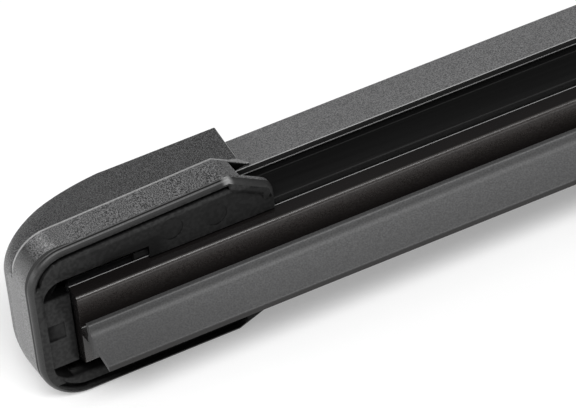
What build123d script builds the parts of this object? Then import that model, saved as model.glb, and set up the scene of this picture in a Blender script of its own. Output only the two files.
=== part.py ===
from build123d import *
import math
import os

# A flat beam wiper blade that lies on its side.
# X runs along the blade, Y points away from the glass, Z points up across the blade.
# Cross-sections are drawn as (across, height) with height 0 at the underside of the rubber's flange.

# Driving dimensions, whole blade (mm)
blade_length = 450.0
bow_radius = 8000.0
rest_half_width = 8.6
rest_face_height = 6.0

# Clearances
slide_clearance = 0.1
cap_clearance = 0.3
swing_clearance = 0.3
running_clearance = 0.05
butt_gap = 0.3

# Rubber element
flange_half_bottom = 4.17
flange_half_top = 4.48
flange_height = 1.77
waist_half = 1.5
bead_half = 3.0
bead_thickness = 0.9
neck_half = 0.45
rubber_end_inset = 4.55
shoulder_near = (2.0, -1.55)
shoulder_far = (-1.8, -1.95)
shoulder_depth = 0.55
lip_root_near = (1.15, -2.3)
lip_middle_near = (0.47, -4.0)
lip_tip_near = (-0.5, -6.05)
lip_tip_far = (-1.05, -6.15)
lip_middle_far = (-0.45, -4.0)
lip_root_far = (-0.4, -2.8)

# Steel strips
strip_width = 3.0
strip_thickness = 0.9
strip_end_inset = 4.9

# Spoiler
claw_gap = 0.2
claw_thickness = 0.75
claw_wall = 0.6
claw_reach = 1.5
channel_headroom = 0.2
skirt_near = 7.75
skirt_far = 7.3
skirt_bottom = 5.15
skirt_thickness = 0.9
recess_roof = 6.1
ridge_across = 5.57
ridge_height = 12.81
ridge_land = 0.6
windward_edge = 7.0
windward_hollow = 0.8
chamber_floor = 6.9
chamber_wall = 1.1
chamber_top = 10.9
chamber_toe = (-0.4, 7.5)
spoiler_end_inset = 12.0

# End cap
cap_bottom = 0.8
cap_crease = 5.3
cap_ridge_across = 5.6
cap_ridge_height = 15.85
cap_nose_half_width = 9.8
cap_wall_half_width = 10.5
cap_wall_length = 22.9
cap_far_wall_length = 22.0
cap_near_corner = 4.3
cap_far_corner = 5.0
cap_corner_growth = 2.0
cap_nose_length = 13.5
cap_nose_share = 0.985
cap_roof_foot_half_width = 8.74
cap_roof_foot_end = 26.0
cap_roof_end = 28.1
cap_bar_end = 27.5
cap_rim_round = 0.8
cap_rim_width = 1.3
cap_rim_step = 0.3
cap_bead_width = 0.6
cap_groove_depth = 0.5
cap_ridge_trim = 0.75
cap_ramp_foot = 8.4
cap_ramp_hollow = 0.6
pocket_end = 1.35
pocket_half_width = 6.2
pocket_roof = 3.4
pocket_length = 12.05
pocket_corner = 2.2
bridge_half_width = 4.2
tab_near_half_width = 7.84
tab_far_half_width = 6.4
tab_top = 2.3
tab_end = 27.65
tab_round = 1.5
window_start = 24.6
window_top = 4.85
pin_mark_places = ((16.1, 7.2), (21.0, 6.8))
pin_mark_radius = 1.3
pin_mark_depth = 0.12
square_mark_place = (2.3, 0.15)
square_mark_size = 2.0
square_mark_depth = 0.2

# Connector
base_half_length = 28.0
base_end_height = 14.4
base_ear_height = 20.5
base_ear_half_length = 11.0
base_end_wall = 2.0
base_floor_thickness = 1.2
base_edge_round = 1.0
tub_half_width = 6.9
pin_height = 15.0
pin_radius = 2.5
pin_recess = 0.3

# Hook adapter and its lid
strap_half_width = 4.8
core_height = 8.0
core_back = 9.0
core_front = 13.0
wall_bottom = 9.5
wall_top = 23.5
wall_back = 15.0
wall_front = 18.0
wall_foot_back = 6.0
wall_foot_front = 8.0
wall_corner = 1.2
hinge_back = 13.0
hinge_boss_radius = 2.2
trunnion_radius = 1.0
lid_thickness = 1.5
lid_barrel_radius = 1.3
lid_neck_end = 9.5

# Levels that follow from the sizes above
claw_bottom = flange_height + claw_gap
strip_seat = claw_bottom + claw_thickness
strip_bottom = strip_seat + slide_clearance
strip_top = strip_bottom + strip_thickness
bead_bottom = strip_top + slide_clearance
bead_top = bead_bottom + bead_thickness
channel_roof = bead_top + channel_headroom
strip_inner = waist_half + slide_clearance
strip_outer = strip_inner + strip_width
channel_half = strip_outer + slide_clearance
claw_outer = channel_half + claw_wall
claw_tip = channel_half - claw_reach
base_floor = channel_roof + base_floor_thickness
lid_bottom = wall_top + swing_clearance
hinge_height = lid_bottom + lid_thickness / 2
flank_lean = (skirt_near - ridge_across) / (ridge_height - skirt_bottom)
half_length = blade_length / 2

section_plane = Plane(origin=(0, 0, 0), x_dir=(0, 0, 1), z_dir=(-1, 0, 0))
bow_axis = Axis((0, -bow_radius, 0), (0, 0, 1))


def carried(shape, distance):
    """Carry a shape from the middle along the bow, towards +X for a positive distance."""
    return shape.rotate(bow_axis, -math.degrees(distance / bow_radius))


def bowed(section, start, end):
    """Run a cross-section along the bow from one distance to another."""
    turn = math.degrees((end - start) / bow_radius)
    solid = revolve(section_plane * section, axis=bow_axis, revolution_arc=turn)
    return carried(solid, end)


def block(x_range, height_range, across_range):
    """A plain block between three pairs of limits."""
    size = [high - low for low, high in (x_range, height_range, across_range)]
    middle = [(high + low) / 2 for low, high in (x_range, height_range, across_range)]
    return Pos(*middle) * Box(*size)


def plan(height):
    """The plane at a height in which an outline is drawn as (along, across)."""
    return Plane(origin=(0, height, 0), x_dir=(1, 0, 0), z_dir=(0, -1, 0))


def rubber_section():
    """Head bead, waist between the strips, flange, thin neck and the leaning lip."""
    near_head = [
        (bead_half, bead_top),
        (bead_half, bead_bottom),
        (waist_half, bead_bottom),
        (waist_half, flange_height),
        (flange_half_top, flange_height),
        (flange_half_bottom, 0),
        (neck_half, 0),
    ]
    far_head = [(-across, height) for across, height in reversed(near_head)]
    shoulder_slope = (shoulder_near[1] - shoulder_far[1]) / (shoulder_near[0] - shoulder_far[0])
    neck_foot_near = (neck_half, shoulder_near[1] - shoulder_slope * (shoulder_near[0] - neck_half))
    neck_foot_far = (-neck_half, neck_foot_near[1] - 2 * shoulder_slope * neck_half)
    near_side = Polyline(
        *near_head,
        neck_foot_near,
        shoulder_near,
        (shoulder_near[0], shoulder_near[1] - shoulder_depth),
        lip_root_near,
    )
    near_flank = ThreePointArc(lip_root_near, lip_middle_near, lip_tip_near)
    tip = Line(lip_tip_near, lip_tip_far)
    far_flank = ThreePointArc(lip_tip_far, lip_middle_far, lip_root_far)
    far_side = Polyline(
        lip_root_far,
        (shoulder_far[0], shoulder_far[1] - shoulder_depth),
        shoulder_far,
        neck_foot_far,
        *far_head,
        near_head[0],
    )
    return make_face([*near_side.edges(), near_flank, tip, far_flank, *far_side.edges()])


def strip_section(side):
    """One spring steel strip, on the near side for 1 and on the far side for -1."""
    centre = side * (strip_inner + strip_outer) / 2
    return Pos(centre, (strip_bottom + strip_top) / 2) * Rectangle(strip_width, strip_thickness)


def spoiler_outline():
    """The outer form: a straight lee flank, a hollow windward ramp and two skirts."""
    ridge_lee = (ridge_across, ridge_height)
    ridge_wind = (ridge_across - ridge_land, ridge_height)
    ramp_foot = (-skirt_far, windward_edge)
    sides = Polyline(ramp_foot, (-skirt_far, skirt_bottom), (skirt_near, skirt_bottom), ridge_lee, ridge_wind)
    ramp = SagittaArc(ridge_wind, ramp_foot, windward_hollow)
    return make_face([*sides.edges(), ramp])


def spoiler_section():
    """Outline with its claws, less the strip channel, the two side recesses and the air chamber."""
    claw_height = recess_roof - claw_bottom
    claws = Pos(0, claw_bottom + claw_height / 2) * Rectangle(2 * claw_outer, claw_height)
    recess_lean = flank_lean * (recess_roof - skirt_bottom)
    near_recess = Polygon(
        (claw_outer, skirt_bottom),
        (skirt_near - skirt_thickness, skirt_bottom),
        (skirt_near - skirt_thickness - recess_lean, recess_roof),
        (claw_outer, recess_roof),
        align=None,
    )
    far_recess = Polygon(
        (-claw_outer, skirt_bottom),
        (-claw_outer, recess_roof),
        (skirt_thickness - skirt_far, recess_roof),
        (skirt_thickness - skirt_far, skirt_bottom),
        align=None,
    )
    channel_height = channel_roof - strip_seat
    channel = Pos(0, strip_seat + channel_height / 2) * Rectangle(2 * channel_half, channel_height)
    mouth = Pos(0, claw_bottom + claw_thickness / 2) * Rectangle(2 * claw_tip, claw_thickness)
    chamber = Polygon(
        (skirt_near - chamber_wall - flank_lean * (chamber_floor - skirt_bottom), chamber_floor),
        (skirt_near - chamber_wall - flank_lean * (chamber_top - skirt_bottom), chamber_top),
        chamber_toe,
        (chamber_toe[0] - chamber_toe[1] + chamber_floor, chamber_floor),
        align=None,
    )
    return spoiler_outline() - near_recess - far_recess + claws - channel - mouth - chamber


def cap_floor_outline():
    """Plan of the cap's walls: a round-cornered nose, drafted sides and the chamfers to the two tabs."""
    near_nose = (0, cap_nose_half_width)
    far_nose = (0, -rest_half_width)
    near_tab = (tab_end, tab_near_half_width)
    far_tab = (tab_end, -tab_far_half_width)
    shape = Polygon(
        near_nose,
        far_nose,
        (cap_far_wall_length, -rest_half_width),
        far_tab,
        near_tab,
        (cap_wall_length, cap_wall_half_width),
        align=None,
    )
    for corner, radius in (
        (near_nose, cap_near_corner),
        (far_nose, cap_far_corner),
        (near_tab, tab_round),
        (far_tab, tab_round),
    ):
        shape = fillet(shape.vertices().sort_by_distance(corner)[0], radius)
    return shape


def cap_roof():
    """The lofted roof: the nose rises as a quarter ellipse while the lee flank leans in."""
    rise = cap_ridge_height - cap_crease
    reach = cap_roof_end + cap_clearance
    levels = []
    for share in (0, 0.3, 0.55, 0.75, 0.9, cap_nose_share):
        lift = share / cap_nose_share
        along = cap_nose_length * (1 - math.sqrt(1 - share**2))
        near_nose = (along, cap_nose_half_width + (cap_ridge_across - cap_nose_half_width) * lift)
        near_foot = cap_roof_foot_half_width + (cap_ridge_across - cap_roof_foot_half_width) * lift
        far_nose = (along, -rest_half_width)
        outline = Polygon(near_nose, far_nose, (reach, -rest_half_width), (reach, near_foot), align=None)
        for corner, radius in ((near_nose, cap_near_corner), (far_nose, cap_far_corner)):
            nearest = outline.vertices().sort_by_distance(corner)[0]
            outline = fillet(nearest, radius + cap_corner_growth * lift)
        levels.append(plan(cap_crease + rise * lift) * outline)
    return loft(levels)


def cap_shell():
    """Walls with their rounded rim, the roof with its windward ramp, and the stepped open end."""
    walls = extrude(plan(cap_bottom) * cap_floor_outline(), cap_bottom - cap_crease)
    rim_edges = walls.faces().sort_by(Axis.Y)[0].edges()
    walls = fillet(rim_edges, cap_rim_round)
    ramp_top = (cap_ridge_across + cap_ridge_trim, cap_ridge_height)
    ramp_foot = (-rest_half_width, cap_ramp_foot)
    ramp = SagittaArc(ramp_top, ramp_foot, cap_ramp_hollow)
    sky = Polyline(
        ramp_foot,
        (-2 * rest_half_width, cap_ramp_foot),
        (-2 * rest_half_width, 2 * cap_ridge_height),
        (ramp_top[0], 2 * cap_ridge_height),
        ramp_top,
    )
    roof = cap_roof() - extrude(section_plane * make_face([*sky.edges(), ramp]), -2 * cap_roof_end)
    beyond = Polygon(
        (cap_bar_end, tab_top),
        (cap_bar_end, cap_crease),
        (cap_roof_foot_end, cap_crease),
        (cap_roof_end, cap_ridge_height),
        (2 * cap_roof_end, cap_ridge_height),
        (2 * cap_roof_end, tab_top),
        align=None,
    )
    return walls + roof - extrude(beyond, 2 * cap_wall_half_width, both=True)


def end_cap():
    """The left end cap, with distance along measured from its outer end."""
    cap = cap_shell()
    far = 2 * cap_roof_end
    spoiler_room = offset(spoiler_outline(), cap_clearance, kind=Kind.INTERSECTION)
    room = extrude(section_plane * spoiler_room, -far)
    cap -= Pos(spoiler_end_inset - cap_clearance, 0, 0) * room
    stop = rubber_end_inset - cap_clearance
    claw_room = claw_outer + cap_clearance
    cap -= block((stop, far), (claw_bottom - cap_clearance, recess_roof), (-claw_room, claw_room))
    flange_room = flange_half_top + cap_clearance
    cap -= block((stop, far), (0, claw_bottom), (-flange_room, flange_room))
    cap -= block((window_start, far), (tab_top, window_top), (-cap_wall_half_width, cap_wall_half_width))
    pocket = Pos(pocket_end + pocket_length / 2, 0) * Rectangle(pocket_length, 2 * pocket_half_width)
    pocket = fillet(pocket.vertices().group_by(Axis.X)[0], pocket_corner)
    bridge = Pos(stop / 2, 0) * Rectangle(stop, 2 * bridge_half_width)
    cap -= extrude(plan(0) * (pocket - bridge), -pocket_roof)
    panel = offset(cap_floor_outline(), -cap_rim_width)
    cap -= extrude(plan(cap_bottom) * panel, -cap_rim_step)
    bead_line = offset(cap_floor_outline(), -cap_bead_width)
    long_sides = Rectangle(cap_wall_length, far) - Rectangle(cap_wall_length, 2 * pocket_half_width)
    groove = (bead_line - panel) & (Pos(cap_wall_length / 2, 0) * long_sides)
    cap -= extrude(plan(cap_bottom) * groove, -cap_rim_step - cap_groove_depth)
    panel_top = cap_bottom + cap_rim_step
    panel_sides = (cap_rim_width - tab_far_half_width, tab_near_half_width - cap_rim_width)
    cap -= block((cap_wall_length, far), (cap_bottom, panel_top), panel_sides)
    panel_level = plan(panel_top)
    for place in pin_mark_places:
        cap -= extrude(panel_level * (Pos(*place) * Circle(pin_mark_radius)), -pin_mark_depth)
    square = Pos(*square_mark_place) * Rectangle(square_mark_size, square_mark_size)
    return cap - extrude(panel_level * square, -square_mark_depth)


def connector_base():
    """Saddle with claws on the strips, two ears for the pin and a tub that the adapter swings in."""
    slope_end = base_half_length - base_end_wall
    profile = Polygon(
        (-base_half_length, claw_bottom),
        (base_half_length, claw_bottom),
        (base_half_length, base_end_height),
        (slope_end, base_end_height),
        (base_ear_half_length, base_ear_height),
        (-base_ear_half_length, base_ear_height),
        (-slope_end, base_end_height),
        (-base_half_length, base_end_height),
        align=None,
    )
    base = extrude(profile, rest_half_width, both=True)
    side_edges = base.faces().filter_by(Axis.Z).edges()
    base = chamfer(side_edges.filter_by(lambda edge: edge.center().Y > base_end_height - 1), base_edge_round)
    base -= block((-slope_end, slope_end), (base_floor, 2 * base_ear_height), (-tub_half_width, tub_half_width))
    base -= block((-half_length, half_length), (strip_seat, channel_roof), (-channel_half, channel_half))
    base -= block((-half_length, half_length), (0, strip_seat), (-claw_tip, claw_tip))
    return base - Pos(0, pin_height, 0) * Cylinder(pin_radius, 4 * rest_half_width)


def pivot_pin():
    """Plain steel cross pin, pressed into the ears a little below flush."""
    return Pos(0, pin_height, 0) * Cylinder(pin_radius, 2 * (rest_half_width - pin_recess))


def hook_adapter():
    """Two cheeks and a round-nosed core that the arm's hook wraps around."""
    outer = tub_half_width - swing_clearance
    cheek = Polygon(
        (-wall_foot_back, wall_bottom),
        (wall_foot_front, wall_bottom),
        (wall_front, pin_height),
        (wall_front, wall_top),
        (-wall_back, wall_top),
        (-wall_back, pin_height + core_height / 4),
        align=None,
    )
    cheek = fillet(cheek.vertices(), wall_corner)
    cheek += Pos(-hinge_back, hinge_height) * Circle(hinge_boss_radius)
    cheeks = extrude(cheek, outer, both=True) - extrude(cheek, strap_half_width, both=True)
    core_middle = (core_front - core_back) / 2
    core = Pos(core_middle, pin_height) * SlotOverall(core_front + core_back, core_height)
    adapter = cheeks + extrude(core, strap_half_width, both=True)
    adapter -= Pos(0, pin_height, 0) * Cylinder(pin_radius + running_clearance, 4 * rest_half_width)
    hinge_hole = Cylinder(trunnion_radius + running_clearance, 4 * rest_half_width)
    return adapter - Pos(-hinge_back, hinge_height, 0) * hinge_hole


def adapter_lid():
    """Flap over the hook: a plate, a narrow neck and the barrel with the trunnions it turns on."""
    outer = tub_half_width - swing_clearance
    inner = strap_half_width - swing_clearance
    lid_top = lid_bottom + lid_thickness
    plate = block((-lid_neck_end, wall_front), (lid_bottom, lid_top), (-outer, outer))
    neck = block((-hinge_back, -lid_neck_end), (lid_bottom, lid_top), (-inner, inner))
    barrel = Cylinder(lid_barrel_radius, 2 * inner) + Cylinder(trunnion_radius, 2 * outer)
    return plate + neck + Pos(-hinge_back, hinge_height, 0) * barrel


cap_left = carried(end_cap(), -half_length)
spoiler_start = -half_length + spoiler_end_inset
spoiler_left = bowed(spoiler_section(), spoiler_start, -base_half_length - butt_gap)
rubber_reach = half_length - rubber_end_inset
strip_reach = half_length - strip_end_inset

pieces = {
    "rubber_element": bowed(rubber_section(), -rubber_reach, rubber_reach),
    "steel_strip_upper": bowed(strip_section(1), -strip_reach, strip_reach),
    "steel_strip_lower": bowed(strip_section(-1), -strip_reach, strip_reach),
    "spoiler_left": spoiler_left,
    "spoiler_right": mirror(spoiler_left, about=Plane.YZ),
    "end_cap_left": cap_left,
    "end_cap_right": mirror(cap_left, about=Plane.YZ),
    "connector_base": connector_base(),
    "pivot_pin": pivot_pin(),
    "hook_adapter": hook_adapter(),
    "adapter_lid": adapter_lid(),
}

# The blade rests on its lower side, with the origin on the connector's rest face
os.makedirs("parts", exist_ok=True)
for name, shape in pieces.items():
    export_step(Pos(0, -rest_face_height, rest_half_width) * shape, f"parts/{name}.step")
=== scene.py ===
import math

import bmesh
import bpy
from mathutils import Matrix, Vector
from mathutils.bvhtree import BVHTree


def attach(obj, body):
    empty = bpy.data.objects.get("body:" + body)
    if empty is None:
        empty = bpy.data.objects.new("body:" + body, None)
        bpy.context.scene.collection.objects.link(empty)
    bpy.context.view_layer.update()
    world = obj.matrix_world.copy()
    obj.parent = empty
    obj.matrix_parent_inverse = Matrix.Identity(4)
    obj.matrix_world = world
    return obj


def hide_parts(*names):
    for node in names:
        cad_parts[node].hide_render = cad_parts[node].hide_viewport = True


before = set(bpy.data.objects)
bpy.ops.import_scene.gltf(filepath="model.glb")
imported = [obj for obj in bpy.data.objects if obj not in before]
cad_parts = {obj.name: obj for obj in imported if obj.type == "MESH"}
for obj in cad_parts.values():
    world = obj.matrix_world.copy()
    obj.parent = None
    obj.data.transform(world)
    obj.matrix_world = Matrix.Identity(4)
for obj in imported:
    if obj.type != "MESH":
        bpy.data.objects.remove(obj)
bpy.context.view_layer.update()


# Steel strips
# Two rolled spring steel rails run the blade's whole length inside the claws.
# They carry the load and give the blade its bow. Only their ends show, in the caps.

def surface(name):
    """A new material with its node tree, its Principled shader and its Object coordinates."""
    made = bpy.data.materials.new(name)
    made.use_nodes = True
    tree = made.node_tree
    place = tree.nodes.new("ShaderNodeTexCoord")
    return made, tree, tree.nodes["Principled BSDF"], place.outputs["Object"]


def wire(tree, shader, colour, roughness, normal):
    """Wires a colour, a roughness and a bump to a material's shader."""
    tree.links.new(colour, shader.inputs["Base Color"])
    tree.links.new(roughness, shader.inputs["Roughness"])
    tree.links.new(normal, shader.inputs["Normal"])


def noise(tree, place, waves, detail):
    """A noise texture on a piece's own coordinates, with its scale in waves per metre."""
    texture = tree.nodes.new("ShaderNodeTexNoise")
    texture.inputs["Scale"].default_value = waves
    texture.inputs["Detail"].default_value = detail
    tree.links.new(place, texture.inputs["Vector"])
    return texture.outputs["Fac"]


def colour_of(tone):
    """A colour with its alpha, from a grey or from red, green and blue."""
    red_green_blue = (tone, tone, tone) if isinstance(tone, float) else tone
    return (*red_green_blue, 1.0)


def ramp(tree, value, stops):
    """A colour ramp over a value, from pairs of position and tone."""
    made = tree.nodes.new("ShaderNodeValToRGB")
    while len(made.color_ramp.elements) < len(stops):
        made.color_ramp.elements.new(0.5)
    for element, (position, tone) in zip(made.color_ramp.elements, stops):
        element.position = position
        element.color = colour_of(tone)
    tree.links.new(value, made.inputs["Fac"])
    return made.outputs["Color"]


def spread(tree, value, low, high):
    """Spreads a value that runs from 0 to 1 between two limits."""
    made = tree.nodes.new("ShaderNodeMapRange")
    made.inputs["To Min"].default_value = low
    made.inputs["To Max"].default_value = high
    tree.links.new(value, made.inputs["Value"])
    return made.outputs["Result"]


def bump(tree, height, strength, distance, under=None):
    """A bump from a height, over another bump's normal where one is given."""
    made = tree.nodes.new("ShaderNodeBump")
    made.inputs["Strength"].default_value = strength
    made.inputs["Distance"].default_value = distance
    tree.links.new(height, made.inputs["Height"])
    if under is not None:
        tree.links.new(under, made.inputs["Normal"])
    return made.outputs["Normal"]


def node_group(name, takes, gives):
    """A new shader node group, with its input and output sockets from their names and kinds."""
    made = bpy.data.node_groups.new(name, "ShaderNodeTree")
    for direction, sockets in (("INPUT", takes), ("OUTPUT", gives)):
        for socket, kind in sockets.items():
            made.interface.new_socket(socket, in_out=direction, socket_type=f"NodeSocket{kind}")
    return made, made.nodes.new("NodeGroupInput").outputs, made.nodes.new("NodeGroupOutput").inputs


def group_in(tree, group, place, **values):
    """A node group placed in a material, on the piece's coordinates and with its own values."""
    made = tree.nodes.new("ShaderNodeGroup")
    made.node_tree = group
    tree.links.new(place, made.inputs["Place"])
    for name, value in values.items():
        made.inputs[name].default_value = value
    return made.outputs


# Marks that rolling, drawing and extruding leave along a strip.
drawn_marks, entry, leave = node_group("drawn_marks", {"Place": "Vector", "Waves": "Vector"},
                                       {"Marks": "Float"})
long_waves = drawn_marks.nodes.new("ShaderNodeVectorMath")
long_waves.operation = "MULTIPLY"
drawn_marks.links.new(entry["Place"], long_waves.inputs[0])
drawn_marks.links.new(entry["Waves"], long_waves.inputs[1])
streaks = noise(drawn_marks, long_waves.outputs["Vector"], waves=1.0, detail=3.0)
drawn_marks.links.new(streaks, leave["Marks"])

rolled_steel, tree, shader, place = surface("rolled_steel")
marks = group_in(tree, drawn_marks, place, Waves=(60.0, 2600.0, 2600.0))["Marks"]
steel = ramp(tree, marks, [(0.3, (0.30, 0.30, 0.31)), (0.7, (0.45, 0.45, 0.46))])
wire(tree, shader, steel, spread(tree, marks, 0.28, 0.46),
     bump(tree, marks, strength=0.2, distance=0.00002))
shader.inputs["Metallic"].default_value = 1.0
for name in ("steel_strip_upper", "steel_strip_lower"):
    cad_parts[name].data.materials[0] = rolled_steel


# Rubber element
# One extruded rubber strip: a bead over the steel strips, a waist between them, a wide flange,
# a thin neck and the wiping lip. The head is bare black rubber, the lip has a grey graphite coat.

# In metres: the radius of the blade's bow, how far the flange's underside lies below the frame's
# origin, how high the blade's middle lies above the floor, and half the rubber's length.
bow_radius = 8.0
flange_drop = 0.006
middle_height = 0.0086
rubber_half_length = 0.22045


def finished(shape, name):
    """A smooth-shaded piece from a bmesh, with its flat faces kept flat."""
    bmesh.ops.recalc_face_normals(shape, faces=shape.faces)
    mesh = bpy.data.meshes.new(name)
    shape.to_mesh(mesh)
    shape.free()
    mesh.shade_smooth()
    mesh.set_sharp_from_angle(angle=math.radians(50.0))
    piece = bpy.data.objects.new(name, mesh)
    bpy.context.scene.collection.objects.link(piece)
    weighted = piece.modifiers.new("flat_faces", "WEIGHTED_NORMAL")
    weighted.weight = 100
    weighted.keep_sharp = True
    return piece


def bowed_strip(name, corners, start, stop):
    """A rounded cross-section of (across, height, corner offset) in mm, swept along the bow."""
    section = bmesh.new()
    rounds = []
    for across, height, offset in corners:
        spot = (0.0, height / 1000 - flange_drop, across / 1000 + middle_height)
        rounds.append((section.verts.new(spot), offset / 1000))
    section.faces.new([vertex for vertex, offset in rounds])
    for vertex, offset in rounds:
        bmesh.ops.bevel(section, geom=[vertex], offset=offset, offset_type="OFFSET", segments=7,
                        profile=0.5, affect="VERTICES", clamp_overlap=True, material=-1)
    centre = (0.0, -bow_radius - flange_drop, 0.0)
    turn = Matrix.Rotation(-start / bow_radius, 3, "Z")
    bmesh.ops.rotate(section, verts=section.verts, cent=centre, matrix=turn)
    bmesh.ops.spin(section, geom=section.verts[:] + section.edges[:] + section.faces[:],
                   cent=centre, axis=(0.0, 0.0, 1.0), angle=-(stop - start) / bow_radius,
                   steps=48, use_merge=False)
    return finished(section, name)


def section_place(face):
    """Where a face of a bowed strip lies in the cross-section, as (across, height) in mm."""
    height = face.center.y + flange_drop + face.center.x ** 2 / (2.0 * bow_radius)
    return (face.center.z - middle_height) * 1000, height * 1000


def on_corner(face, corners):
    """Whether a face lies on one of some rounded corners of the cross-section."""
    across, height = section_place(face)
    return any(math.hypot(across - x, height - y) < offset for x, y, offset in corners)


def calculated(tree, operation, *values):
    """A sum, difference, product or other result of values, each a socket or a number."""
    made = tree.nodes.new("ShaderNodeMath")
    made.operation = operation
    for value, socket in zip(values, made.inputs):
        if isinstance(value, float):
            socket.default_value = value
        else:
            tree.links.new(value, socket)
    return made.outputs[0]


def coordinates(tree, place):
    """A point's X along the blade, Y square to the glass and Z above the floor, in metres."""
    parts = tree.nodes.new("ShaderNodeSeparateXYZ")
    tree.links.new(place, parts.inputs["Vector"])
    return parts.outputs


def reach_of(tree, place):
    """How far a point lies from the blade's middle, along the blade."""
    return calculated(tree, "ABSOLUTE", coordinates(tree, place)["X"])


def beside_of(tree, place):
    """How far a point lies to either side of the blade's middle line."""
    upward = calculated(tree, "SUBTRACT", coordinates(tree, place)["Z"], middle_height)
    return calculated(tree, "ABSOLUTE", upward)


def height_of(tree, place):
    """Height above the flange's underside, with the blade's bow taken out."""
    parts = coordinates(tree, place)
    square = calculated(tree, "MULTIPLY", parts["X"], parts["X"])
    sag = calculated(tree, "MULTIPLY_ADD", square, 1.0 / (2.0 * bow_radius), flange_drop)
    return calculated(tree, "ADD", parts["Y"], sag)


def along(tree, value, low, high):
    """How far a value lies between two limits, from 0 to 1."""
    made = tree.nodes.new("ShaderNodeMapRange")
    made.inputs["From Min"].default_value = low
    made.inputs["From Max"].default_value = high
    tree.links.new(value, made.inputs["Value"])
    return made.outputs["Result"]


def step_between(tree, value, low, high):
    """A smooth step from 0 below one limit to 1 above another."""
    step = along(tree, value, low, high)
    step.node.interpolation_type = "SMOOTHSTEP"
    return step


def mixed(tree, share, first, second):
    """A colour mixed from two by a mask."""
    made = tree.nodes.new("ShaderNodeMix")
    made.data_type = "RGBA"
    tree.links.new(share, made.inputs["Factor"])
    tree.links.new(first, made.inputs["A"])
    tree.links.new(second, made.inputs["B"])
    return made.outputs["Result"]


def dimmed(tree, colour, tone):
    """A colour multiplied by a tone."""
    made = tree.nodes.new("ShaderNodeMix")
    made.data_type = "RGBA"
    made.blend_type = "MULTIPLY"
    made.inputs["Factor"].default_value = 1.0
    tree.links.new(colour, made.inputs["A"])
    tree.links.new(tone, made.inputs["B"])
    return made.outputs["Result"]


wiper_rubber, tree, shader, place = surface("wiper_rubber")
reach, beside, height = reach_of(tree, place), beside_of(tree, place), height_of(tree, place)
cloud = noise(tree, place, waves=90.0, detail=4.0)
speck = noise(tree, place, waves=6000.0, detail=1.0)
drawn = group_in(tree, drawn_marks, place, Waves=(25.0, 1500.0, 1500.0))["Marks"]
bare = ramp(tree, cloud, [(0.3, (0.0048, 0.0040, 0.0039)), (0.7, (0.0072, 0.0062, 0.0060))])

# Painted light: the flange's underside is lighter towards its edges and darker towards the neck,
# where the lip shades it.
outward = step_between(tree, beside, 0.0004, 0.0040)
above_underside = step_between(tree, height, 0.00015, 0.0004)
low_edge = calculated(tree, "SUBTRACT", outward, above_underside)
painted_underside_light = ramp(tree, speck, [(0.3, (0.022, 0.019, 0.018)), (0.7, (0.044, 0.040, 0.038))])
underside_with_painted_light = mixed(tree, low_edge, bare, painted_underside_light)

# Painted light and shade along the lip's flank: lighter in its upper part, with dark and bright
# bands near the shoulder. The coat is darker towards the lip's end, and the cut tip is bare rubber.
coat = ramp(tree, speck, [(0.3, (0.054, 0.054, 0.055)), (0.7, (0.096, 0.096, 0.097))])
painted_lip_light = ramp(tree, along(tree, height, -0.0062, -0.0013), [
    (0.0, 0.66), (0.25, 0.74), (0.45, 0.86), (0.68, 1.0),
    (0.76, 0.80), (0.81, 0.66), (0.84, 1.0), (0.88, 0.62)])
darker_near_end = ramp(tree, step_between(tree, reach, 0.200, 0.2205), [(0.0, 1.0), (1.0, 0.72)])
graphite = dimmed(tree, dimmed(tree, coat, painted_lip_light), darker_near_end)
lip = mixed(tree, step_between(tree, height, -0.00606, -0.00602), bare, graphite)

head = step_between(tree, height, -0.00148, -0.00138)
wire(tree, shader, mixed(tree, head, lip, underside_with_painted_light), spread(tree, head, 0.55, 0.27),
     bump(tree, speck, strength=0.1, distance=0.00003,
          under=bump(tree, drawn, strength=0.05, distance=0.00003)))
shader.inputs["Specular IOR Level"].default_value = 0.6

# Painted highlights: pale grey lines on rounded edges, standing in for the light they catch.
painted_edge_highlight, tree, shader, place = surface("painted_edge_highlight")
drawn = group_in(tree, drawn_marks, place, Waves=(25.0, 1500.0, 1500.0))["Marks"]
wire(tree, shader, ramp(tree, drawn, [(0.3, 0.27), (0.7, 0.37)]), spread(tree, drawn, 0.35, 0.5),
     bump(tree, drawn, strength=0.05, distance=0.00002))

flange_edges = [(4.6, 1.88, 0.2), (-4.6, 1.88, 0.2)]
lip_edges = [(-1.8, -1.95, 0.14)]
rubber = bowed_strip("rubber_profile", [
    (3.0, 4.72, 0.15), (3.0, 3.82, 0.1), (1.5, 3.82, 0.1), (1.5, 1.88, 0.1),
    flange_edges[0], (4.17, 0.0, 0.35), (0.45, 0.0, 0.3), (0.45, -1.65, 0.1),
    (2.1, -1.45, 0.1), (2.1, -2.1, 0.15), (1.15, -2.3, 0.5), (0.47, -4.0, 1.2),
    (-0.45, -6.02, 0.08), (-1.05, -6.13, 0.05),
    (-0.45, -4.0, 0.9), (-0.4, -2.8, 0.3), (-1.8, -2.5, 0.2), lip_edges[0],
    (-0.45, -1.81, 0.1), (-0.45, 0.0, 0.3), (-4.17, 0.0, 0.35), flange_edges[1],
    (-1.5, 1.88, 0.1), (-1.5, 3.82, 0.1), (-3.0, 3.82, 0.1), (-3.0, 4.72, 0.15),
], -rubber_half_length, rubber_half_length)
finishes = (wiper_rubber, painted_edge_highlight)
for finish in finishes:
    rubber.data.materials.append(finish)
# Faces on the rounded flange and shoulder edges get the painted edge highlight.
for face in rubber.data.polygons:
    if on_corner(face, flange_edges + lip_edges):
        face.material_index = finishes.index(painted_edge_highlight)
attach(rubber, "blade")
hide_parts("rubber_element")


# Spoilers
# Two lengths of extruded elastomer with a straight lee flank and a hollow windward ramp.
# Their claws slide over the steel strips. They butt against the connector and run into the caps.

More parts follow.
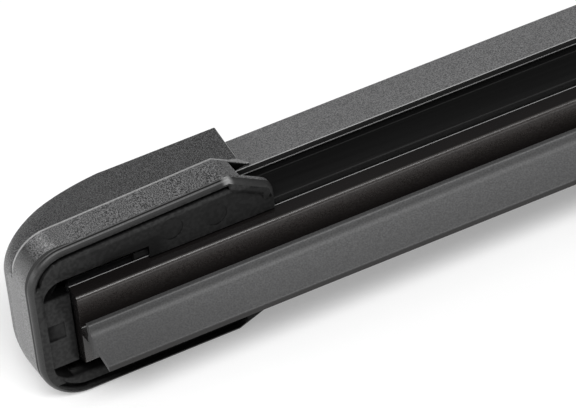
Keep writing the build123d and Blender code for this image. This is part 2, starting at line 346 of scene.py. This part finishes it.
# The fine grain of a moulded or textured plastic.
moulded_grain, entry, leave = node_group(
    "moulded_grain",
    {"Place": "Vector", "Waves": "Float", "Dark": "Color", "Light": "Color",
     "Smooth": "Float", "Rough": "Float"},
    {"Tone": "Color", "Roughness": "Float", "Height": "Float"})
pits = moulded_grain.nodes.new("ShaderNodeTexNoise")
pits.inputs["Detail"].default_value = 0.5
moulded_grain.links.new(entry["Place"], pits.inputs["Vector"])
moulded_grain.links.new(entry["Waves"], pits.inputs["Scale"])
grains = step_between(moulded_grain, pits.outputs["Fac"], 0.36, 0.64)
cloud = noise(moulded_grain, entry["Place"], waves=110.0, detail=3.0)
shading = ramp(moulded_grain, cloud, [(0.3, 0.93), (0.7, 1.0)])
tone = mixed(moulded_grain, grains, entry["Dark"], entry["Light"])
gloss = moulded_grain.nodes.new("ShaderNodeMix")
moulded_grain.links.new(cloud, gloss.inputs["Factor"])
moulded_grain.links.new(entry["Smooth"], gloss.inputs["A"])
moulded_grain.links.new(entry["Rough"], gloss.inputs["B"])
moulded_grain.links.new(dimmed(moulded_grain, tone, shading), leave["Tone"])
moulded_grain.links.new(gloss.outputs["Result"], leave["Roughness"])
moulded_grain.links.new(grains, leave["Height"])


def grain_in(tree, place, waves, dark, light, smooth=0.0, rough=0.0):
    """The moulded grain in a material, between two tones and between two values of roughness."""
    return group_in(tree, moulded_grain, place, Waves=waves, Dark=colour_of(dark),
                    Light=colour_of(light), Smooth=smooth, Rough=rough)


spoiler_grain, tree, shader, place = surface("spoiler_grain")
grain = grain_in(tree, place, waves=7000.0, dark=(0.082, 0.082, 0.083), light=(0.206, 0.206, 0.208),
                 smooth=0.5, rough=0.65)
wire(tree, shader, grain["Tone"], grain["Roughness"],
     bump(tree, grain["Height"], strength=0.35, distance=0.00005))
shader.inputs["Specular IOR Level"].default_value = 0.2

# The smooth claws and the hollow over them. Their near-black tone is partly the smooth rubber's own
# and partly painted shade for that recess.
claw_black, tree, shader, place = surface("claw_black")
drawn = group_in(tree, drawn_marks, place, Waves=(30.0, 2500.0, 2500.0))["Marks"]
wire(tree, shader, ramp(tree, drawn, [(0.3, 0.0045), (0.7, 0.0075)]),
     spread(tree, drawn, 0.4, 0.55), bump(tree, drawn, strength=0.08, distance=0.00004))
shader.inputs["Specular IOR Level"].default_value = 0.2

skirt_edges = [(7.75, 5.15, 0.08), (6.85, 5.15, 0.2), (-6.4, 5.15, 0.2), (-7.3, 5.15, 0.08)]
outer_form = [
    skirt_edges[0], (5.57, 12.81, 0.12), (4.97, 12.81, 0.12), (0.6, 9.95, 3.0), (-7.3, 7.0, 0.15),
    skirt_edges[3],
]
under_side = [
    skirt_edges[2], (-6.4, 6.1, 0.1), (-5.3, 6.1, 0.1), (-5.3, 1.97, 0.15), (-3.2, 1.97, 0.1),
    (-3.2, 2.72, 0.1), (-4.7, 2.72, 0.1), (-4.7, 4.92, 0.1), (4.7, 4.92, 0.1), (4.7, 2.72, 0.1),
    (3.2, 2.72, 0.1), (3.2, 1.97, 0.1), (5.3, 1.97, 0.15), (5.3, 6.1, 0.1), (6.54, 6.1, 0.1),
    skirt_edges[1],
]

# In metres, where the spoilers start beside the connector and stop inside the caps.
# In mm, the top of the claws, and the height and half width of the hollow over them.
spoiler_start, spoiler_stop = 0.0283, 0.213
claw_top, hollow_top, hollow_half_width = 5.2, 6.3, 6.95

finishes = (spoiler_grain, claw_black, painted_edge_highlight)
halves = (("left", -spoiler_stop, -spoiler_start), ("right", spoiler_start, spoiler_stop))
for side, start, stop in halves:
    spoiler = bowed_strip(f"spoiler_strip_{side}", outer_form + under_side, start, stop)
    for finish in finishes:
        spoiler.data.materials.append(finish)
    for face in spoiler.data.polygons:
        across, height = section_place(face)
        # Faces on the skirt's rounded edges get the painted edge highlight.
        if on_corner(face, skirt_edges):
            face.material_index = finishes.index(painted_edge_highlight)
        elif height < claw_top or (height < hollow_top and abs(across) < hollow_half_width):
            face.material_index = finishes.index(claw_black)
    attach(spoiler, "blade")
    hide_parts(f"spoiler_{side}")


# End caps
# Injection-moulded black plastic: a fine spark-eroded grain outside, a smooth rim and inside.
# Each is pushed over the end of the blade up to its stop bridge, and its two side tabs hold it.

# In metres along the blade, where a cap ends. Its rim lies below the frame's origin there,
# and tilts towards the blade's middle. Above the rim follow the rim's rounded edge and the crease.
cap_end = 0.225
rim_drop, rim_tilt = 0.009164, 0.02812
rim_foot, rim_top, rim_band = 0.0008, 0.0016, 0.0018
crease_low, crease, crease_high = 0.0051, 0.0052, 0.0053

# Half the width of a cap at its end, how much its walls widen on the way in, and its grain.
end_half_width, wall_draft = 0.0098, 0.0306
fine_waves = 9000.0


def cap_level(point):
    """Height of a point on a cap, square to the cap's rim."""
    return point.y + rim_drop - rim_tilt * (cap_end - abs(point.x))


def level_of(tree, place):
    """The height that cap_level gives, in a material."""
    from_end = calculated(tree, "SUBTRACT", cap_end, reach_of(tree, place))
    upright = calculated(tree, "ADD", coordinates(tree, place)["Y"], rim_drop)
    return calculated(tree, "MULTIPLY_ADD", from_end, -rim_tilt, upright)


def eased(node_name, piece_name, ease, wanted=None):
    """A copy of a solid's mesh with its sharp outer edges eased, as a mould leaves them."""
    shape = bmesh.new()
    shape.from_mesh(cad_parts[node_name].data)
    flat, sharp = math.radians(0.5), math.radians(40.0)
    bmesh.ops.remove_doubles(shape, verts=shape.verts, dist=0.000001)
    bmesh.ops.dissolve_limit(shape, angle_limit=flat, verts=shape.verts, edges=shape.edges)
    edges = [edge for edge in shape.edges if edge.is_convex and edge.calc_face_angle() > sharp]
    chosen = [edge for edge in edges if wanted is None or wanted(edge)]
    bmesh.ops.bevel(shape, geom=chosen, offset=ease, offset_type="OFFSET", segments=3, profile=0.5,
                    affect="EDGES", clamp_overlap=False, material=-1)
    return finished(shape, piece_name)


def above_rim(edge):
    """Whether an edge of a cap lies above the low steps of its rim."""
    return min(cap_level(vertex.co) for vertex in edge.verts) > rim_top


def share_between(value, low, high):
    """How far a number lies between two limits, from 0 to 1."""
    return min(max((value - low) / (high - low), 0.0), 1.0)


def fuller_nose(cap, swell):
    """Lifts the roof of a cap's nose, from nothing at its crease and at the start of its ridge."""
    ridge_start, nose_tip, full_lift = 0.2108, 0.2188, 0.0080
    roof = [vertex for vertex in cap.data.vertices if vertex.normal.y > 0.05]
    for vertex in roof:
        onward = share_between(abs(vertex.co.x), ridge_start, nose_tip)
        upward = share_between(cap_level(vertex.co), crease, full_lift)
        vertex.co.y += swell * onward * upward * upward * (3.0 - 2.0 * upward)


# The roof, darker than the walls as painted shade, and lighter towards its nose as painted light.
roof_grain, tree, shader, place = surface("roof_grain")
grain = grain_in(tree, place, waves=fine_waves, dark=0.002, light=(0.130, 0.130, 0.132),
                 smooth=0.5, rough=0.62)
painted_nose_light = grain_in(tree, place, waves=fine_waves, dark=0.14, light=(0.34, 0.34, 0.342))
towards_end = step_between(tree, reach_of(tree, place), 0.2180, 0.2240)
off_middle = step_between(tree, beside_of(tree, place), 0.0048, 0.0080)
nose = calculated(tree, "SUBTRACT", towards_end, off_middle)
wire(tree, shader, mixed(tree, nose, grain["Tone"], painted_nose_light["Tone"]), grain["Roughness"],
     bump(tree, grain["Height"], strength=0.8, distance=0.00006))
shader.inputs["Specular IOR Level"].default_value = 0.15

# The walls, with the mould's parting line, which climbs at the end of the cap. Just below that line
# they are near black, a painted shadow of the small gap there.
wall_grain, tree, shader, place = surface("wall_grain")
reach, beside, level = reach_of(tree, place), beside_of(tree, place), level_of(tree, place)
grain = grain_in(tree, place, waves=fine_waves, dark=0.003, light=(0.178, 0.178, 0.180),
                 smooth=0.30, rough=0.40)
climb = spread(tree, step_between(tree, reach, 0.2165, 0.2240), 0.0007, 0.0)
parting = step_between(tree, calculated(tree, "ADD", level, climb), 0.00203, 0.00216)
painted_parting_shadow = ramp(tree, parting, [(0.0, 0.04), (1.0, 1.0)])

# Painted shade darkens a band on the rounded corner of the end, and a painted highlight lies on a
# crest under the upper crease.
corner_middle = 0.2152
corner = calculated(tree, "SUBTRACT", calculated(tree, "SUBTRACT", reach, beside), corner_middle)
onto_corner = step_between(tree, corner, -0.0017, -0.0003)
off_corner = step_between(tree, corner, 0.0016, 0.0032)
turned = calculated(tree, "SUBTRACT", onto_corner, off_corner)
painted_corner_shade = ramp(tree, turned, [(0.0, 1.0), (1.0, 0.28)])
upper_side = step_between(tree, coordinates(tree, place)["Z"], 0.0144, 0.0158)
crest = calculated(tree, "MULTIPLY", step_between(tree, level, 0.00490, 0.00499), upper_side)
painted_crest_highlight = grain_in(tree, place, waves=4000.0, dark=0.24, light=0.32)

plain = dimmed(tree, dimmed(tree, grain["Tone"], painted_parting_shadow), painted_corner_shade)
dull_seam = calculated(tree, "MAXIMUM", grain["Roughness"], spread(tree, parting, 1.0, 0.0))
relief = calculated(tree, "MULTIPLY", grain["Height"], parting)
wire(tree, shader, mixed(tree, crest, plain, painted_crest_highlight["Tone"]), dull_seam,
     bump(tree, relief, strength=0.28, distance=0.00004))
shader.inputs["Specular IOR Level"].default_value = 1.0

# The rim, whose rounded edge carries a painted shadow line and a painted highlight line along the
# side walls.
# It is dark on the tabs, has a painted glint where the walls start, and is plain at the end.
cap_rim, tree, shader, place = surface("cap_rim")
reach, level = reach_of(tree, place), level_of(tree, place)
grain = grain_in(tree, place, waves=6000.0, dark=0.80, light=1.0, smooth=0.3, rough=0.4)
painted_rim_lines = ramp(tree, along(tree, level, rim_foot, rim_top), [
    (0.04, 0.030), (0.10, 0.012), (0.36, 0.012), (0.41, 0.100),
    (0.57, 0.100), (0.62, 0.002), (0.80, 0.002), (0.86, 0.090)])
walled = step_between(tree, reach, 0.2015, 0.2030)
painted_wall_glint = ramp(tree, walled, [(0.0, 0.022), (1.0, 1.0)])
side_rim = mixed(tree, walled, painted_wall_glint, painted_rim_lines)
at_end = step_between(tree, reach, 0.2215, 0.2240)
end_rim = ramp(tree, at_end, [(0.0, 0.015), (1.0, 0.030)])
rim_tone = dimmed(tree, mixed(tree, at_end, side_rim, end_rim), grain["Tone"])
rim_gloss = calculated(tree, "ADD", grain["Roughness"], spread(tree, at_end, 0.25, 0.0))
wire(tree, shader, rim_tone, rim_gloss, bump(tree, grain["Height"], strength=0.1, distance=0.00003))
shader.inputs["Specular IOR Level"].default_value = 0.35

# The inside, lighter along the walls and towards the end as painted light, darker on the panel and
# in the pockets as painted shade.
cap_inside, tree, shader, place = surface("cap_inside")
reach, beside, level = reach_of(tree, place), beside_of(tree, place), level_of(tree, place)
grain = grain_in(tree, place, waves=2500.0, dark=0.0075, light=0.0125, smooth=0.28, rough=0.42)
painted_pale_tone = grain_in(tree, place, waves=2500.0, dark=0.020, light=0.032)
onto_panel = step_between(tree, reach, 0.2090, 0.2110)
off_panel = step_between(tree, reach, 0.2150, 0.2180)
panel = calculated(tree, "SUBTRACT", onto_panel, off_panel)
from_end = calculated(tree, "SUBTRACT", cap_end, reach)
outer_wall = calculated(tree, "MULTIPLY_ADD", from_end, wall_draft, end_half_width)
inward = calculated(tree, "SUBTRACT", outer_wall, beside)
shade = ramp(tree, along(tree, inward, 0.0023, 0.0033), [(0.0, 1.0), (0.6, 0.75), (1.0, 0.1)])
shaded = mixed(tree, panel, grain["Tone"], dimmed(tree, grain["Tone"], shade))
edged = mixed(tree, step_between(tree, inward, 0.00165, 0.00195), painted_pale_tone["Tone"], shaded)
open_side = mixed(tree, step_between(tree, reach, 0.2160, 0.2235), edged, painted_pale_tone["Tone"])
painted_depth_shade = ramp(tree, step_between(tree, level, 0.00112, 0.00150), [(0.0, 1.0), (1.0, 0.12)])
wire(tree, shader, dimmed(tree, open_side, painted_depth_shade), grain["Roughness"],
     bump(tree, grain["Height"], strength=0.1, distance=0.00003))
shader.inputs["Specular IOR Level"].default_value = 0.13

# In metres, how far the cap's edges are eased and its nose is lifted, the start and the length of
# the rays that feel for walls, and how far above the middle the crease gets its painted highlight.
# Then the limits for how far a face turns up or down.
cap_ease, nose_swell = 0.00018, 0.00044
ray_start, ray_length = 0.00002, 0.04
crease_highlight_from = 0.0068
facing_down, sloping, lying_flat = -0.9, 0.1, 0.95

finishes = (wall_grain, cap_inside, roof_grain, painted_edge_highlight, cap_rim)
for side in ("left", "right"):
    cap = eased(f"end_cap_{side}", f"cap_{side}", cap_ease, above_rim)
    for finish in finishes:
        cap.data.materials.append(finish)
    solid = bmesh.new()
    solid.from_mesh(cap.data)
    walls = BVHTree.FromBMesh(solid)
    solid.free()
    for face in cap.data.polygons:
        # A ray from just off the face meets another wall only inside the cap.
        off_face = face.center + face.normal * ray_start
        enclosed = walls.ray_cast(off_face, face.normal, ray_length)[0] is not None
        level, up = cap_level(face.center), face.normal.y
        crease_highlighted = face.center.z - middle_height > crease_highlight_from
        if enclosed or up < facing_down:
            face.material_index = finishes.index(cap_inside)
        # Faces along the upper crease get the painted edge highlight.
        elif crease_low < level < crease_high and sloping < up < lying_flat and crease_highlighted:
            face.material_index = finishes.index(painted_edge_highlight)
        elif level > crease_low and up > sloping:
            face.material_index = finishes.index(roof_grain)
        elif level < rim_band:
            face.material_index = finishes.index(cap_rim)
    fuller_nose(cap, nose_swell)
    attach(cap, "blade")
    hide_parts(f"end_cap_{side}")


# Connector base
# A moulded saddle that clamps on both steel strips at the blade's middle.
# Its ears carry the pivot pin, and its tub leaves room for the adapter to swing.

connector_plastic, tree, shader, place = surface("connector_plastic")
grain = grain_in(tree, place, waves=8000.0, dark=(0.030, 0.030, 0.031), light=(0.078, 0.078, 0.080),
                 smooth=0.46, rough=0.58)
wire(tree, shader, grain["Tone"], grain["Roughness"],
     bump(tree, grain["Height"], strength=0.5, distance=0.00006))
shader.inputs["Specular IOR Level"].default_value = 0.3
moulded_ease = 0.0002
saddle = eased("connector_base", "connector_saddle", moulded_ease)
saddle.data.materials.append(connector_plastic)
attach(saddle, "blade")
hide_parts("connector_base")


# Pivot pin
# A drawn steel pin, pressed through the connector's ears a little below flush.
# Its faces carry the fine rings of the cut-off tool.

pin_steel, tree, shader, place = surface("pin_steel")
centred = tree.nodes.new("ShaderNodeMapping")
pin_height = 0.009
centred.inputs["Location"].default_value = (0.0, -pin_height, 0.0)
tree.links.new(place, centred.inputs["Vector"])
turning = tree.nodes.new("ShaderNodeTexWave")
turning.wave_type = "RINGS"
turning.rings_direction = "Z"
turning.inputs["Scale"].default_value = 900.0
turning.inputs["Distortion"].default_value = 1.5
tree.links.new(centred.outputs["Vector"], turning.inputs["Vector"])
rings = turning.outputs["Fac"]
steel = ramp(tree, rings, [(0.2, (0.16, 0.16, 0.165)), (0.8, (0.28, 0.28, 0.285))])
wire(tree, shader, steel, spread(tree, rings, 0.5, 0.62),
     bump(tree, rings, strength=0.15, distance=0.00003))
shader.inputs["Metallic"].default_value = 1.0
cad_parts["pivot_pin"].data.materials[0] = pin_steel


# Hook adapter and lid
# Smooth moulded black plastic. The adapter turns on the pivot pin and takes the arm's hook.
# The lid snaps into the adapter's two bosses and folds down over the hook.

adapter_plastic, tree, shader, place = surface("adapter_plastic")
grain = grain_in(tree, place, waves=5000.0, dark=(0.020, 0.020, 0.021), light=(0.036, 0.036, 0.037),
                 smooth=0.34, rough=0.46)
wire(tree, shader, grain["Tone"], grain["Roughness"],
     bump(tree, grain["Height"], strength=0.12, distance=0.00003))
swinging = (("hook_adapter", "adapter_block", "adapter"), ("adapter_lid", "lid_flap", "lid"))
for node, name, body in swinging:
    piece = eased(node, name, moulded_ease)
    piece.data.materials.append(adapter_plastic)
    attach(piece, body)
    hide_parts(node)


# Floor, light and camera
# A plain white floor. One wide soft light stands over the camera, and three weaker ones overhead,
# at the cap's end and behind it. The camera looks along the photograph's line with a long lens.

sweep = bmesh.new()
bmesh.ops.create_grid(sweep, x_segments=1, y_segments=1, size=3.0)
floor_mesh = bpy.data.meshes.new("floor")
sweep.to_mesh(floor_mesh)
sweep.free()
floor = bpy.data.objects.new("floor", floor_mesh)
bpy.context.scene.collection.objects.link(floor)

# The floor is white and glows a little where it is seen or mirrored, and throws a grey light back.
pale = bpy.data.materials.new("pale_floor")
pale.use_nodes = True
tree = pale.node_tree
white = tree.nodes["Principled BSDF"]
white.inputs["Base Color"].default_value = (1.0, 1.0, 1.0, 1.0)
white.inputs["Roughness"].default_value = 0.9
white.inputs["Specular IOR Level"].default_value = 0.0
glow = tree.nodes.new("ShaderNodeEmission")
glow.inputs["Color"].default_value = (1.0, 1.0, 1.0, 1.0)
glow.inputs["Strength"].default_value = 1.0
backdrop = tree.nodes.new("ShaderNodeMixShader")
backdrop.inputs["Fac"].default_value = 0.33
tree.links.new(white.outputs["BSDF"], backdrop.inputs[1])
tree.links.new(glow.outputs["Emission"], backdrop.inputs[2])
grey = tree.nodes.new("ShaderNodeBsdfDiffuse")
grey.inputs["Color"].default_value = (0.45, 0.45, 0.45, 1.0)
ray = tree.nodes.new("ShaderNodeLightPath").outputs
mirrored = calculated(tree, "MAXIMUM", ray["Is Glossy Ray"], ray["Is Transmission Ray"])
either = tree.nodes.new("ShaderNodeMixShader")
tree.links.new(calculated(tree, "MAXIMUM", ray["Is Camera Ray"], mirrored), either.inputs["Fac"])
tree.links.new(grey.outputs["BSDF"], either.inputs[1])
tree.links.new(backdrop.outputs["Shader"], either.inputs[2])
tree.links.new(either.outputs["Shader"], tree.nodes["Material Output"].inputs["Surface"])
floor.data.materials.append(pale)


def soft_light(name, power, width, depth, place):
    """An oblong soft box that faces the cap's end of the blade."""
    lamp = bpy.data.lights.new(name, "AREA")
    lamp.energy = power
    lamp.shape = "RECTANGLE"
    lamp.size = width
    lamp.size_y = depth
    box = bpy.data.objects.new(name, lamp)
    bpy.context.scene.collection.objects.link(box)
    lit_end = Vector((-0.2, 0.0, 0.0))
    aim = (lit_end - Vector(place)).to_track_quat("-Z", "Y")
    box.matrix_world = Matrix.Translation(place) @ aim.to_matrix().to_4x4()


soft_light("over_camera", power=18.5, width=1.25, depth=0.40, place=(-0.37, -0.74, 1.05))
soft_light("overhead", power=1.0, width=0.9, depth=0.9, place=(-0.2, -0.25, 1.0))
soft_light("cap_end", power=4.2, width=1.1, depth=0.34, place=(-1.0, 0.05, 0.19))
soft_light("behind_cap", power=1.5, width=0.15, depth=0.3, place=(-0.27, 0.96, 0.88))

world = bpy.data.worlds.new("studio")
bpy.context.scene.world = world
world.use_nodes = True
background = world.node_tree.nodes["Background"]
background.inputs["Color"].default_value = (1.0, 1.0, 1.0, 1.0)
background.inputs["Strength"].default_value = 0.10

lens = bpy.data.cameras.new("camera")
lens.sensor_fit = "HORIZONTAL"
lens.sensor_width = 36.0
lens.lens = 425.0
lens.clip_end = 20.0
camera = bpy.data.objects.new("camera", lens)
bpy.context.scene.collection.objects.link(camera)
camera.matrix_world = Matrix((
    (0.89646, 0.33902, -0.28536, -0.39166),
    (-0.43145, 0.52083, -0.73661, -0.51218),
    (-0.10110, 0.78345, 0.61317, 0.43347),
    (0.0, 0.0, 0.0, 1.0),
))
bpy.context.scene.camera = camera
bpy.context.scene.view_settings.view_transform = "Standard"
